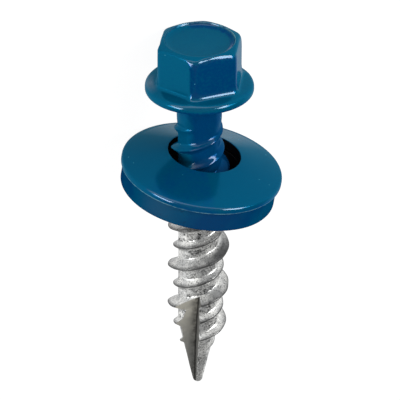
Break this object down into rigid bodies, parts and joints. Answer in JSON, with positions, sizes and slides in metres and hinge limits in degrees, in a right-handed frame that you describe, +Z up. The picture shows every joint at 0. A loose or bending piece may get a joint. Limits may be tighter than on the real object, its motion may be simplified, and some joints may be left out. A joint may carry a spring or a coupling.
{
  "type": "hex washer head wood screw",
  "caption": "Hex washer head wood screw with a coarse high-low thread and a notched point, carrying a loose domed washer with a rubber seal, painted deep blue over zinc plate.",
  "frame": {"origin": "centre of the bearing face under the flange, on the screw's axis", "axes": "The screw lies as it comes to rest: +Z is up, and the screw's axis runs in the YZ plane, its head towards +Y and 16.6 degrees down, its point towards -Y and up. +X is the right side of the picture."},
  "size_m": [0.013, 0.0311, 0.0129],
  "materials": {
    "screw": "bright zinc plate, with deep blue gloss paint over the head, the neck and the first turns of the thread",
    "cap": "deep blue gloss paint",
    "seal": "smooth rubber, blue overspray on its edge, black inside"
  },
  "bodies": {
    "root": {"screw": "screw", "washer_cap": "cap", "washer_seal": "seal"}
  },
  "joints": []
}
